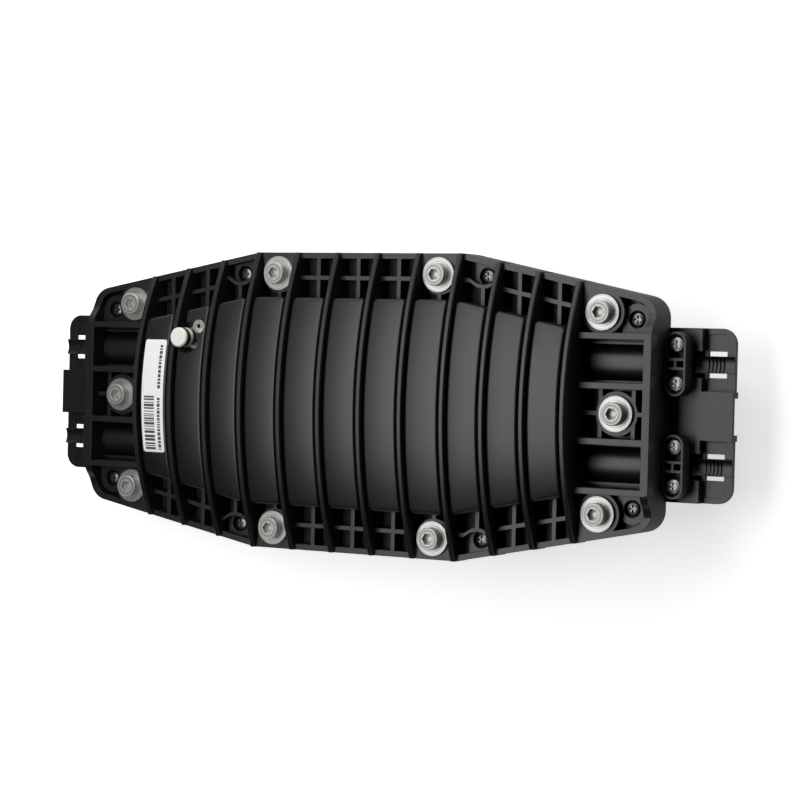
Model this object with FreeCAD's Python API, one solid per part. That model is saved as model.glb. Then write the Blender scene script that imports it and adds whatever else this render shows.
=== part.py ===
"""Inline splice closure: two ribbed moulded half shells bolted together round stacked splice trays.

Millimetres. X runs along the closure, Y across it, +Z out of the cover.
The origin is under the middle of the closure, on the plane that the base's ribs stand on.
"""
import FreeCAD
import Part
import math
import os

V = FreeCAD.Vector
UP = V(0, 0, 1)
ALONG = V(1, 0, 0)

# Plan of both shells
HALF_LENGTH = 150.0
HALF_WIDTH = 70.2
WAIST_X = 54.3
EDGE_SLOPE = 0.2035
CORNER_RADIUS = 10.0

# Heights, with the seam between the two shells as the level that the rest is counted from
SEAM = 34.0
FLOOR_TOP = SEAM + 2.0
RIM_TOP = SEAM + 10.0
RIB_EDGE = SEAM + 12.0
RIB_APEX = SEAM + 27.3
END_TOP = SEAM + 15.5
FLANGE_UNDER = SEAM - 6.5
TUB_UNDER = 3.0
FLOOR_PLANE = 0.0

# Cover ribs, pads and pockets
RIB_THICK = 2.5
INNER_RIB_PITCH = 21.5
OUTER_RIB_PITCH = 19.83
INNER_RIBS = 3
OUTER_RIBS = 3
RIB_CHAMFER = 0.5
PAD_DROP = 3.0
CORE_DROP = 5.0
SKIN = 3.2
PAD_GAP = 0.8
PAD_ROUND = 1.6
PAD_CORNER = 2.5
UPRIGHT_SLACK = 0.01
DOME_INSET = 21.3
CORE_INSET = 22.3
CAVITY_INSET = 24.4
CORE_END = 114.0
CAVITY_END = 110.5
WALL = 2.7
BAR = 2.0
CROSS_INSET = 11.8
POCKET_PLAN = ("cross", "cross", "hook", "bolt", "cross", "cross", "cross", "bolt", "hook", "cross", "cross")

# Cover bolts, their washers and nuts (M6), and the small cross-recess screws (M4)
CORNER_BOLT = (124.7, 44.6)
WAIST_BOLT = (42.8, 60.4)
END_BOLT_X = 132.2
CORNER_BOSS_R = 10.0
WAIST_BOSS_R = 9.2
BOLT_R = 3.0
BOLT_HEAD_R = 5.2
BOLT_HEAD_H = 4.5
BOLT_LENGTH = 28.0
HEX_SOCKET_FLATS = 5.0
HEX_SOCKET_DEPTH = 2.6
HEAD_CHAMFER = 0.35
COVER_HOLE_R = 3.4
BASE_HOLE_R = 3.7
WASHER_R = 8.0
WASHER_BORE_R = 3.2
WASHER_T = 1.6
NUT_FLATS = 10.0
NUT_T = 5.0
NUT_BORE_R = 3.5
NUT_BOSS_UNDER = SEAM - 17.0
SCREW_HEAD_R = 3.5
SCREW_HEAD_H = 2.3
SCREW_SHANK_R = 1.8
SCREW_LENGTH = 12.0
COVER_SCREW_LENGTH = 9.0
SCREW_HOLE_R = 2.3
SCREW_WELL_R = 4.0
SCREW_SUNK = 2.8
RECESS_SPAN = 3.6
RECESS_WIDTH = 0.9
RECESS_DEPTH = 1.3
HEAD_PROFILE = ((1.0, 0.45), (0.8, 0.85), (0.45, 1.0))
CORNER_SCREW = (139.4, 41.7)
HOOK_SCREW = (65.0, 60.0)
CORNER_PAD_TOP = SEAM + 6.5
CORNER_PAD_HALF = 7.0
CORNER_PLATE_X = (115.2, 130.6)
CORNER_PLATE_Y = 40.2
HOOK_PAD_TOP = SEAM + 5.5
HOOK_PAD_HALF = 6.0
HOOK_PAD_REACH = 3.4
HOOK_OUTER = ((10.5, -1.0, 0.0), (7.2, -1.0, 2.0), (3.0, -3.6, 4.0))
HOOK_INNER = ((10.5, -3.0, 0.0), (6.6, -3.0, 2.0), (2.4, -5.6, 4.0))
HOOK_STEM = -4.6

# End compartments of the cover
DIVIDERS = (34.2, 12.3)
END_WALL = 3.6
END_RAMP_Y = (35.0, 45.0)
RAMP_BEND = 2.0
RAMP_DROP = 0.66
RING_RIB_X = 7.9
LOW_RIB_X = 116.5
LOW_RIB_TOP = SEAM + 5.5
NUB_R = 3.6
NUB_PROUD = 0.8
NUB_Z = SEAM + 11.2
NUB_SPREAD = 8.7

# Cable ports
PORT_Y = 22.6
PORT_AXIS_Z = SEAM - 3.4
PORT_IN_X = 113.0
SEAL_IN_X = 116.0
SEAL_HALF = 7.5
SEAL_TOP = SEAM + 4.1
SEAL_SLACK = 0.3
CABLE_R = 5.0
PIPE_WALL = 2.0
COLLAR_LONG = 2.2
COLLAR_GROWTH = 0.8
PORT_FIN_OFF = 8.7
PORT_FIN_T = 1.2
PORT_FIN_TOP = SEAM + 4.7

# Gasket strips in the base's groove
GASKET_END = 119.0
GASKET_INSET = 15.4
GASKET_WIDTH = 3.0
GASKET_DEEP = 3.0

# Base shell
TUB_ROUND = 17.0
BASE_SKIN = 3.0
RIB_FOOT = 36.0
BASE_RIB_SIDE = (0.83, SEAM - 26.0)
BASE_RIB_EDGE = SEAM - 9.5
BASE_RIB_INSET = 0.6

# End brackets
BRACKET_HALF_Y = 38.6
BRACKET_TOP = SEAM - 6.0
BRACKET_UNDER = SEAM - 16.0
TIE_TOP = SEAM - 10.0
TIE_UNDER = SEAM - 12.0
TIE_X = 165.3
BRACKET_END = 179.6
BLOCK_END = 180.3
BLOCK_HALF_Y = 10.8
BRACKET_CORNER = 7.0
BRACKET_SKIN = 3.0
BLOCK_SKIN = 2.0
TONGUE_IN_X = 142.5
TONGUE_HALF_Y = 11.5
TONGUE_T = 4.0
TONGUE_SCREW = (146.2, 7.0)
TONGUE_SCREW_LENGTH = 8.0
TONGUE_PILOT_TOP = SEAM - 2.0
CHANNEL_HALF = 5.9
CHANNEL_UNDER = SEAM - 11.4
CHANNEL_WALL = 2.0
SADDLE_IN_X = 161.0
SADDLE_HALF = 3.75
SADDLE_TOP = SEAM - 7.1
TROUGH_R = 5.9
RIDGES = 5
RIDGE_X = 167.2
RIDGE_PITCH = 1.75
RIDGE_HIGH = 0.8
RIDGE_WIDE = 0.8
TIE_SLOT_X = (166.6, 175.5)
TIE_SLOT_OFF = 4.8
TIE_SLOT_WIDE = 2.1
PANEL_X = (166.6, 175.8)
PANEL_Y = ((28.45, 36.0), (11.4, 16.75))
PANEL_CORNER = 1.2
PANEL_DEEP = 0.6
POST_R = 4.9
CLAMP_SCREW_HOLE_R = 2.4

# Cable clamp bars and their screws
CLAMP_X = 156.0
CLAMP_WIDE = 9.8
CLAMP_LONG = 28.4
CLAMP_TOP = SEAM + 2.4
CLAMP_RIM = 1.0
CLAMP_DISH = 4.0
CLAMP_POCKET = 6.4
CLAMP_BRIDGE_Y = 2.0
CLAMP_BRIDGE_T = 1.2
CLAMP_POCKET_Y = (2.6, 5.0)
CLAMP_HOLE_R = 2.1
CLAMP_SCREW_OFF = 8.7
CLAMP_SCREW_LENGTH = 13.0
CLAMP_HEAD_R = 3.8
CLAMP_HEAD_H = 2.6

# Pressure test valve in the second panel
VALVE_AT = (-86.0, 28.9)
VALVE_FLOOR = SEAM + 13.1
RECESS_R = 7.5
RECESS_SKIN = 2.4
CUP_RISE = 3.4
CHANNEL_X = -87.7
CHANNEL_OUT_Y = 45.0
VALVE_FLANGE_R = 5.5
VALVE_FLANGE_T = 1.5
BARREL_R = 4.0
BARREL_H = 6.0
NECK_H = 3.9
NECK_R = 3.8
STEM_R = 2.8
STEM_TIP = 4.5
STEM_UNDER = SEAM + 5.2
STEM_BORE_R = 1.6
CAP_R = 4.65
CAP_H = 6.4
CAP_BORE_R = 3.2
CAP_ROUND = 0.6
VALVE_SEAL_T = 1.0
VALVE_SEAL_R = 5.0
VALVE_NUT_T = 2.6
VALVE_NUT_FLATS = 9.0
PIN_R = 0.7
PIN_LENGTH = 9.0
PIN_SUNK = 0.5
PIN_COLLAR = 2.0
VALVE_BARREL_LOW = VALVE_FLOOR + VALVE_FLANGE_T
VALVE_NECK_LOW = VALVE_BARREL_LOW + BARREL_H
VALVE_CAP_LOW = VALVE_NECK_LOW + NECK_H
TAG_T = 0.7
TAG_HALF = 2.0
TAG_HOLE_R = 1.0
TAG_EAR_R = 3.2
TAG_EAR_AT = (5.6, 5.4)
TAG_EAR_Z = SEAM + 21.1

# Label on the first pad
LABEL_X = (-109.7, -98.6)
LABEL_Y = (-27.5, 28.2)
LABEL_T = 0.25
LABEL_CORNER = 1.2

# Outline sunk in the last pad, where a second label would go
PLACE_X = (95.8, 108.2)
PLACE_Y = (-31.8, 28.0)
PLACE_LINE = 0.7
PLACE_DEEP = 0.3

# Splice trays inside
BASKET_LOW = 6.0
BASKET_HIGH = 19.0
BASKET_INSET = 4.5
TRAY_H = 8.0
TRAY_HALF_X = 88.0
TRAY_HALF_Y = 35.0
TRAY_CORNER = 28.0
TRAY_WALL = 1.6
HUB_X = 52.0
HUB_R = 15.0
HUB_DROP = 1.0
TAB_HALF = 5.0
TAB_REACH = 6.0
LID_T = 1.2
HOLDER_SIZE = (38.0, 26.0)
HOLDER_BASE = 1.0
HOLDER_FINS = 7
FIN_T = 1.4
FIN_H = 4.5
HINGE_X = -91.5
HINGE_EAR_Y = 14.0
HINGE_EAR_T = 3.0
HINGE_PIN_R = 1.2
HINGE_EAR_REACH = 2.5
EAR_ROOT_X = -84.0
POST_ROOT_X = -87.2
POST_FOOT_X = -78.0
ANCHOR_X = 100.0
ANCHOR_SIZE = (9.0, 12.0)
ANCHOR_POST_TOP = 18.0
ANCHOR_T = 3.0
ANCHOR_CORNER = 1.5

SIDES = (("front", -1), ("rear", 1))
ENDS = (("left", -1), ("right", 1))


# Small helpers for profiles and blocks

def block(x, y, z):
    """Box between the low and high limits given for each axis."""
    return Part.makeBox(x[1] - x[0], y[1] - y[0], z[1] - z[0], V(x[0], y[0], z[0]))


def rod(radius, x, y, z):
    """Upright cylinder at x, y between two heights."""
    return Part.makeCylinder(radius, z[1] - z[0], V(x, y, z[0]))


def lying_rod(radius, x, y, z):
    """Cylinder along X between two stations."""
    return Part.makeCylinder(radius, x[1] - x[0], V(x[0], y, z), ALONG)


def polygon_wire(points, radius):
    """Closed plan outline through the points, with each corner rounded where radius isn't 0."""
    count = len(points)
    radii = radius if isinstance(radius, (list, tuple)) else [radius] * count
    edges = []
    stops = []
    for index, point in enumerate(points):
        corner = V(point[0], point[1], 0)
        before = V(*points[index - 1], 0) - corner
        after = V(*points[(index + 1) % count], 0) - corner
        before.normalize()
        after.normalize()
        half = before.getAngle(after) / 2
        run = radii[index] / math.tan(half)
        middle = before + after
        middle.normalize()
        nearest = radii[index] / math.sin(half) - radii[index]
        stops.append((corner + before * run, corner + middle * nearest, corner + after * run))
    for index, (start, top, end) in enumerate(stops):
        if radii[index] > 0:
            edges.append(Part.Arc(start, top, end).toShape())
        edges.append(Part.makeLine(end, stops[(index + 1) % count][0]))
    return Part.Wire(edges)


def prism(wire, low, high):
    """Upright prism on a plan outline."""
    face = Part.Face(wire)
    face.translate(V(0, 0, low))
    return face.extrude(UP * (high - low))


def rectangle(x, y):
    """Corner points of a plan rectangle."""
    return [(x[1], y[1]), (x[0], y[1]), (x[0], y[0]), (x[1], y[0])]


def hexagon(flats, x, y, z):
    """Upright hexagonal prism."""
    reach = flats / math.sqrt(3)
    points = [(x + reach * math.cos(math.radians(60 * k)), y + reach * math.sin(math.radians(60 * k)))
              for k in range(6)]
    return prism(polygon_wire(points, 0), *z)


def turned(points, x, y):
    """Solid of revolution about the upright line at x, y from radius and height pairs."""
    outline = [V(radius, 0, height) for radius, height in points]
    face = Part.Face(Part.makePolygon(outline + outline[:1]))
    solid = face.revolve(V(0, 0, 0), UP, 360)
    solid.translate(V(x, y, 0))
    return solid


def joined(shapes):
    """One solid from shapes that meet."""
    return shapes[0].multiFuse(shapes[1:]).removeSplitter()


def ruled(wires):
    """Solid with straight rulings between closed sections."""
    return Part.makeLoft(wires, True, True)


def save(name, shape):
    """Writes one node's solid or group of solids."""
    shape.exportStep("parts/" + name + ".step")


# The closure's plan and its arched section

def half_width(x):
    """Half the closure's width at station x."""
    return HALF_WIDTH - EDGE_SLOPE * max(0.0, abs(x) - WAIST_X)


def plan(end, inset):
    """Plan points with the long edges moved in by inset and the ends at plus and minus end."""
    stretch = math.hypot(1.0, EDGE_SLOPE)
    waist = WAIST_X - inset * (stretch - 1) / EDGE_SLOPE
    wide = HALF_WIDTH - inset
    narrow = HALF_WIDTH - EDGE_SLOPE * (end - WAIST_X) - inset * stretch
    quarter = [(end, narrow), (waist, wide)]
    upper = quarter + [(-x, y) for x, y in reversed(quarter)]
    return upper + [(-x, -y) for x, y in upper]


def plan_wire(end, inset, corner):
    """Plan outline with rounded end corners."""
    return polygon_wire(plan(end, inset), [corner, 0, 0, corner] * 2)


def arch_height(x, y, drop):
    """Height of the ribs' arched top at x, y, lowered by drop."""
    rise = RIB_APEX - RIB_EDGE
    radius = (half_width(x) ** 2 + rise ** 2) / (2 * rise)
    return RIB_APEX - radius + math.sqrt(radius ** 2 - y ** 2) - drop


def arched_wire(x, half, low, drop):
    """Upright section at station x with a flat underside and an arched top."""
    shoulder = arch_height(x, half, drop)
    edges = [Part.makeLine(V(x, half, low), V(x, half, shoulder)),
             Part.Arc(V(x, half, shoulder), V(x, 0, RIB_APEX - drop), V(x, -half, shoulder)).toShape(),
             Part.makeLine(V(x, -half, shoulder), V(x, -half, low)),
             Part.makeLine(V(x, -half, low), V(x, half, low))]
    return Part.Wire(edges)


def arched_solid(stations, inset, low, drop):
    """Arched body over the given stations, its sides inset from the closure's edge."""
    return ruled([arched_wire(x, half_width(x) - inset, low, drop) for x in stations])


def rib_stations():
    """Places of the twelve ribs along the closure."""
    right = [INNER_RIB_PITCH * (k + 0.5) for k in range(INNER_RIBS)]
    right += [right[-1] + OUTER_RIB_PITCH * (k + 1) for k in range(OUTER_RIBS)]
    return [-x for x in reversed(right)] + right


def bolt_places():
    """Places of the ten cover bolts."""
    corners = [(sx * CORNER_BOLT[0], sy * CORNER_BOLT[1]) for sx in (-1, 1) for sy in (-1, 1)]
    waist = [(sx * WAIST_BOLT[0], sy * WAIST_BOLT[1]) for sx in (-1, 1) for sy in (-1, 1)]
    return corners + waist + [(-END_BOLT_X, 0.0), (END_BOLT_X, 0.0)]


def screw_places():
    """Places of the eight small cover screws, each with the height its head sits on."""
    return [(sx * x, sy * y, seat) for sx in (-1, 1) for sy in (-1, 1)
            for (x, y), seat in ((CORNER_SCREW, CORNER_PAD_TOP - SCREW_SUNK),
                                 (HOOK_SCREW, HOOK_PAD_TOP - SCREW_SUNK))]


# Cover shell

def pad_span(left, right):
    """Stations that a pad between two ribs starts and ends at."""
    return (left + RIB_THICK / 2 + PAD_GAP, right - RIB_THICK / 2 - PAD_GAP)


def cover_pad(left, right):
    """Raised pad between two ribs, rounded at its corners and round its top."""
    pad = arched_solid(pad_span(left, right), DOME_INSET, SEAM, PAD_DROP)
    upright = []
    for edge in pad.Edges:
        run = edge.Vertexes[1].Point - edge.Vertexes[0].Point
        if math.hypot(run.x, run.y) < UPRIGHT_SLACK:
            upright.append(edge)
    pad = pad.makeFillet(PAD_CORNER, upright)
    top = max(pad.Faces, key=lambda face: face.CenterOfMass.z)
    return pad.makeFillet(PAD_ROUND, top.OuterWire.Edges)


def cover_rib(x):
    """Arched rib across the whole cover, its top edges broken."""
    half = half_width(x)
    face = Part.Face(arched_wire(x - RIB_THICK / 2, half, SEAM, 0))
    rib = face.extrude(ALONG * RIB_THICK)
    crest = [edge for edge in rib.Edges if edge.Curve.TypeId == "Part::GeomCircle"]
    return rib.makeChamfer(RIB_CHAMFER, crest)


def hook_rib(at):
    """Stiffener with two arms that dips round the hook screw's well, about the screw's axis at station at."""
    upper = [(-x, y, bend) for x, y, bend in HOOK_OUTER] + list(reversed(HOOK_OUTER))
    lower = list(HOOK_INNER) + [(-x, y, bend) for x, y, bend in reversed(HOOK_INNER)]
    corners = upper + lower
    points = [(at + x, HOOK_SCREW[1] + y) for x, y, _ in corners]
    return prism(polygon_wire(points, [bend for _, _, bend in corners]), SEAM, RIM_TOP)


def pocket_bars(left, right, kind, side):
    """Stiffeners in one edge pocket of the cover, between two ribs."""
    middle = (left + right) / 2
    half = half_width(middle)
    root = half - CORE_INSET
    edge = half - WALL / 2
    tall = (SEAM, RIM_TOP)
    long_bar = block((middle - BAR / 2, middle + BAR / 2), (root, edge), tall)
    if kind == "cross":
        lean = math.degrees(math.atan2(half_width(right) - half_width(left), right - left))
        reach = (right - left) / 2
        cross = block((-reach, reach), (-BAR / 2, BAR / 2), tall)
        cross.rotate(V(0, 0, 0), UP, lean)
        cross.translate(V(middle, half - CROSS_INSET, 0))
        bars = [long_bar, cross]
    elif kind == "hook":
        at = math.copysign(HOOK_SCREW[0], middle)
        arms = hook_rib(at).common(block((left, right), (0, HALF_WIDTH), tall))
        stem = block((at - BAR / 2, at + BAR / 2), (root, HOOK_SCREW[1] + HOOK_STEM), tall)
        pad = block((at - HOOK_PAD_HALF, at + HOOK_PAD_HALF), (HOOK_SCREW[1] - HOOK_PAD_REACH, edge),
                    (SEAM, HOOK_PAD_TOP))
        bars = [arms, stem, pad]
    else:
        at = math.copysign(WAIST_BOLT[0], middle)
        boss = rod(WAIST_BOSS_R, at, WAIST_BOLT[1], tall)
        shoulder = block((at - WAIST_BOSS_R, at + WAIST_BOSS_R), (WAIST_BOLT[1], edge), tall)
        tab = block((at - BAR / 2, at + BAR / 2), (root, WAIST_BOLT[1]), tall)
        bars = [boss, shoulder, tab]
    if side < 0:
        bars = [bar.mirror(V(0, 0, 0), V(0, 1, 0)) for bar in bars]
    return bars


def end_wall():
    """Raised middle of the right end wall, with a ramp down to the rim at each corner."""
    low, high = END_RAMP_Y
    centre = (low + high) / 2
    mid_z = (END_TOP + RIM_TOP) / 2
    x = HALF_LENGTH - END_WALL
    edges = []
    for sign in (1, -1):
        upper = Part.Arc(V(x, sign * low, END_TOP), V(x, sign * (low + RAMP_BEND), END_TOP - RAMP_DROP),
                         V(x, sign * centre, mid_z)).toShape()
        lower = Part.Arc(V(x, sign * centre, mid_z), V(x, sign * (high - RAMP_BEND), RIM_TOP + RAMP_DROP),
                         V(x, sign * high, RIM_TOP)).toShape()
        edges += [upper, lower, Part.makeLine(V(x, sign * high, RIM_TOP), V(x, sign * high, SEAM))]
    edges.append(Part.makeLine(V(x, low, END_TOP), V(x, -low, END_TOP)))
    edges.append(Part.makeLine(V(x, high, SEAM), V(x, -high, SEAM)))
    wall = Part.Face(Part.Wire(Part.__sortEdges__(edges))).extrude(ALONG * END_WALL)
    limit = prism(plan_wire(HALF_LENGTH, 0, CORNER_RADIUS), SEAM, END_TOP)
    return wall.common(limit)


def turned_to(shape, end):
    """A right-end feature, turned half round for the left end."""
    if end < 0:
        shape = shape.copy()
        shape.rotate(V(0, 0, 0), UP, 180)
    return shape


def corner_pad():
    """Pad for the rear corner screw, round about the screw and running in to the divider."""
    x, y = CORNER_SCREW
    left, right = x - CORNER_PAD_HALF, x + CORNER_PAD_HALF
    root = DIVIDERS[0]
    edges = [Part.makeLine(V(left, root, 0), V(right, root, 0)),
             Part.makeLine(V(right, root, 0), V(right, y, 0)),
             Part.Arc(V(right, y, 0), V(x, y + CORNER_PAD_HALF, 0), V(left, y, 0)).toShape(),
             Part.makeLine(V(left, y, 0), V(left, root, 0))]
    return prism(Part.Wire(edges), SEAM, CORNER_PAD_TOP)


def end_features():
    """Dividers, bosses, ring ribs and corner pads of the cover's right end."""
    inner = rib_stations()[-1]
    wall_x = HALF_LENGTH - WALL / 2
    shapes = []
    for y in [sign * y for y in DIVIDERS for sign in (-1, 1)]:
        shapes.append(block((inner, wall_x), (y - WALL / 2, y + WALL / 2), (SEAM, END_TOP)))
    shapes.append(rod(CORNER_BOSS_R, END_BOLT_X, 0, (SEAM, RIM_TOP)))
    for x in (END_BOLT_X - RING_RIB_X, END_BOLT_X + RING_RIB_X):
        shapes.append(block((x - BAR / 2, x + BAR / 2), (-DIVIDERS[1], DIVIDERS[1]), (SEAM, RIM_TOP)))
    shapes.append(block((inner, wall_x), (-BAR / 2, BAR / 2), (SEAM, RIM_TOP)))
    low_rib = (LOW_RIB_X - BAR / 2, LOW_RIB_X + BAR / 2)
    shapes.append(block(low_rib, (-DIVIDERS[1], DIVIDERS[1]), (SEAM, LOW_RIB_TOP)))
    within = prism(plan_wire(HALF_LENGTH - WALL / 2, WALL / 2, CORNER_RADIUS - WALL / 2), SEAM, RIM_TOP)
    plate = block(CORNER_PLATE_X, (CORNER_PLATE_Y, HALF_WIDTH), (SEAM, RIM_TOP))
    boss = rod(CORNER_BOSS_R, *CORNER_BOLT, (SEAM, RIM_TOP))
    corner = [boss, plate.common(within), corner_pad().common(within)]
    return shapes + corner + [shape.mirror(V(0, 0, 0), V(0, 1, 0)) for shape in corner]


def end_nubs():
    """Low domes on the cover's right end face, one on each side of both ports."""
    ball = (NUB_R ** 2 + NUB_PROUD ** 2) / (2 * NUB_PROUD)
    outside = block((HALF_LENGTH, HALF_LENGTH + ball), (-HALF_WIDTH, HALF_WIDTH), (SEAM, END_TOP))
    nubs = []
    for y in [side * (PORT_Y + off) for side in (-1, 1) for off in (-NUB_SPREAD, NUB_SPREAD)]:
        dome = Part.makeSphere(ball, V(HALF_LENGTH + NUB_PROUD - ball, y, NUB_Z), UP)
        nubs.append(dome.common(outside))
    return nubs


def port_wire(x, y, half, top, under_half):
    """Upright section of a cable port: round below, straight sides, a flatter arch above the seam."""
    low = PORT_AXIS_Z - under_half
    edges = [Part.Arc(V(x, y + half, SEAM), V(x, y, top), V(x, y - half, SEAM)).toShape(),
             Part.makeLine(V(x, y - half, SEAM), V(x, y - half, PORT_AXIS_Z)),
             Part.Arc(V(x, y - half, PORT_AXIS_Z), V(x, y, low), V(x, y + half, PORT_AXIS_Z)).toShape(),
             Part.makeLine(V(x, y + half, PORT_AXIS_Z), V(x, y + half, SEAM))]
    return Part.Wire(edges)


def port_body(x, y, growth):
    """Length of port section, grown all round by growth."""
    half = SEAL_HALF + growth
    wire = port_wire(x[0], y, half, SEAL_TOP + growth, half)
    return Part.Face(wire).extrude(ALONG * (x[1] - x[0]))


def cover_ports():
    """Half pipes over the right end's ports, each with a collar inside and a low fin along both sides."""
    above = block((0, HALF_LENGTH), (-HALF_WIDTH, HALF_WIDTH), (SEAM, RIB_APEX))
    wall_x = HALF_LENGTH - WALL / 2
    shapes = []
    for y in (-PORT_Y, PORT_Y):
        shapes.append(port_body((PORT_IN_X, wall_x), y, PIPE_WALL).common(above))
        collar = port_body((PORT_IN_X, PORT_IN_X + COLLAR_LONG), y, PIPE_WALL + COLLAR_GROWTH)
        shapes.append(collar.common(above))
        for middle in (y - PORT_FIN_OFF, y + PORT_FIN_OFF):
            across = (middle - PORT_FIN_T / 2, middle + PORT_FIN_T / 2)
            shapes.append(block((PORT_IN_X, wall_x), across, (SEAM, PORT_FIN_TOP)))
    return shapes


def both_ends(shapes):
    """Right-end shapes together with their copies at the left end."""
    return shapes + [turned_to(shape, -1) for shape in shapes]


def top_cover():
    """Moulded cover: rim, arched ribs, rounded pads, stiffened pockets, bosses and ports."""
    ribs = rib_stations()
    rim = prism(plan_wire(HALF_LENGTH, 0, CORNER_RADIUS), SEAM, RIM_TOP)
    rim = rim.cut(prism(plan_wire(HALF_LENGTH - END_WALL, WALL, CORNER_RADIUS - WALL), FLOOR_TOP, RIM_TOP))
    stations = (-CORE_END, -WAIST_X, WAIST_X, CORE_END)
    shapes = [rim, arched_solid(stations, CORE_INSET, SEAM, CORE_DROP)]
    shapes += [cover_rib(x) for x in ribs]
    for left, right, kind in zip(ribs, ribs[1:], POCKET_PLAN):
        shapes.append(cover_pad(left, right))
        for side in (-1, 1):
            shapes += pocket_bars(left, right, kind, side)
    shapes += both_ends(end_features() + cover_ports() + [end_wall()] + end_nubs())
    shell = joined(shapes)

    inner_stations = (-CAVITY_END, -WAIST_X, WAIST_X, CAVITY_END)
    cuts = [arched_solid(inner_stations, CAVITY_INSET, SEAM, PAD_DROP + SKIN)]
    cuts += both_ends([port_body((CAVITY_END - WALL, HALF_LENGTH + WALL), y, SEAL_SLACK)
                       for y in (-PORT_Y, PORT_Y)])
    cuts += [rod(COVER_HOLE_R, x, y, (SEAM, RIB_APEX)) for x, y in bolt_places()]
    for x, y, seat in screw_places():
        cuts.append(rod(SCREW_HOLE_R, x, y, (SEAM, seat)))
        cuts.append(rod(SCREW_WELL_R, x, y, (seat, RIM_TOP)))
    shell = shell.cut(cuts).fuse(valve_cup())
    return shell.cut([valve_recess(), label_place()]).removeSplitter()


# Valve seat moulded into the cover

def rib_face_left_of_valve():
    """Right face of the rib on the valve's left."""
    return max(x for x in rib_stations() if x < VALVE_AT[0]) + RIB_THICK / 2


def valve_cup():
    """Underside of the valve's recess, hanging in the cover's hollow."""
    low = VALVE_FLOOR - RECESS_SKIN
    high = VALVE_FLOOR + CUP_RISE
    cup = rod(RECESS_R + RECESS_SKIN, *VALVE_AT, (low, high))
    edge = half_width(VALVE_AT[0]) - CORE_INSET
    gutter = block((rib_face_left_of_valve(), CHANNEL_X + RECESS_SKIN), (VALVE_AT[1], edge), (low, high))
    return cup.fuse(gutter)


def valve_recess():
    """Round recess for the valve, with a gutter that drains it to the edge pocket, and the stem's hole."""
    left = rib_face_left_of_valve()
    well = rod(RECESS_R, *VALVE_AT, (VALVE_FLOOR, RIB_APEX))
    well = well.common(block((left, 0), (0, HALF_WIDTH), (SEAM, RIB_APEX)))
    gutter = block((left, CHANNEL_X), (VALVE_AT[1], CHANNEL_OUT_Y), (VALVE_FLOOR, RIB_APEX))
    hole = rod(STEM_R, *VALVE_AT, (SEAM, VALVE_FLOOR))
    return joined([well, gutter, hole])


# Base shell

def tub_wire(x, inset, under, rounding):
    """Upright section of the base's tub at station x: straight sides, rounded into a flat bottom."""
    half = half_width(x) - inset
    shoulder = under + rounding
    flat = half - rounding
    bend = rounding * math.sqrt(0.5)
    middle = (flat + bend, shoulder - bend)
    near = Part.Arc(V(x, -half, shoulder), V(x, -middle[0], middle[1]), V(x, -flat, under))
    far = Part.Arc(V(x, flat, under), V(x, *middle), V(x, half, shoulder))
    edges = [Part.makeLine(V(x, -half, SEAM), V(x, -half, shoulder)),
             near.toShape(),
             Part.makeLine(V(x, -flat, under), V(x, flat, under)),
             far.toShape(),
             Part.makeLine(V(x, half, shoulder), V(x, half, SEAM)),
             Part.makeLine(V(x, half, SEAM), V(x, -half, SEAM))]
    return Part.Wire(edges)


def base_rib(x):
    """Rib under the base: from just inside the flange's edge round to a flat foot."""
    half = half_width(x) - BASE_RIB_INSET
    foot = RIB_FOOT * half / HALF_WIDTH
    side = (BASE_RIB_SIDE[0] * half, BASE_RIB_SIDE[1])
    at = x - RIB_THICK / 2
    far = Part.Arc(V(at, half, BASE_RIB_EDGE), V(at, *side), V(at, foot, FLOOR_PLANE))
    near = Part.Arc(V(at, -foot, FLOOR_PLANE), V(at, -side[0], side[1]), V(at, -half, BASE_RIB_EDGE))
    edges = [Part.makeLine(V(at, half, FLANGE_UNDER), V(at, half, BASE_RIB_EDGE)),
             far.toShape(),
             Part.makeLine(V(at, foot, FLOOR_PLANE), V(at, -foot, FLOOR_PLANE)),
             near.toShape(),
             Part.makeLine(V(at, -half, BASE_RIB_EDGE), V(at, -half, FLANGE_UNDER)),
             Part.makeLine(V(at, -half, FLANGE_UNDER), V(at, half, FLANGE_UNDER))]
    return Part.Face(Part.Wire(edges)).extrude(ALONG * RIB_THICK)


def gasket_loop():
    """Closed band of the gasket groove, just outside the hollow."""
    outer = prism(plan_wire(GASKET_END, GASKET_INSET, CORNER_RADIUS), SEAM - GASKET_DEEP, SEAM)
    inner_end = GASKET_END - GASKET_WIDTH
    inner = plan_wire(inner_end, GASKET_INSET + GASKET_WIDTH, CORNER_RADIUS - GASKET_WIDTH)
    return outer.cut(prism(inner, SEAM - GASKET_DEEP, SEAM))


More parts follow.
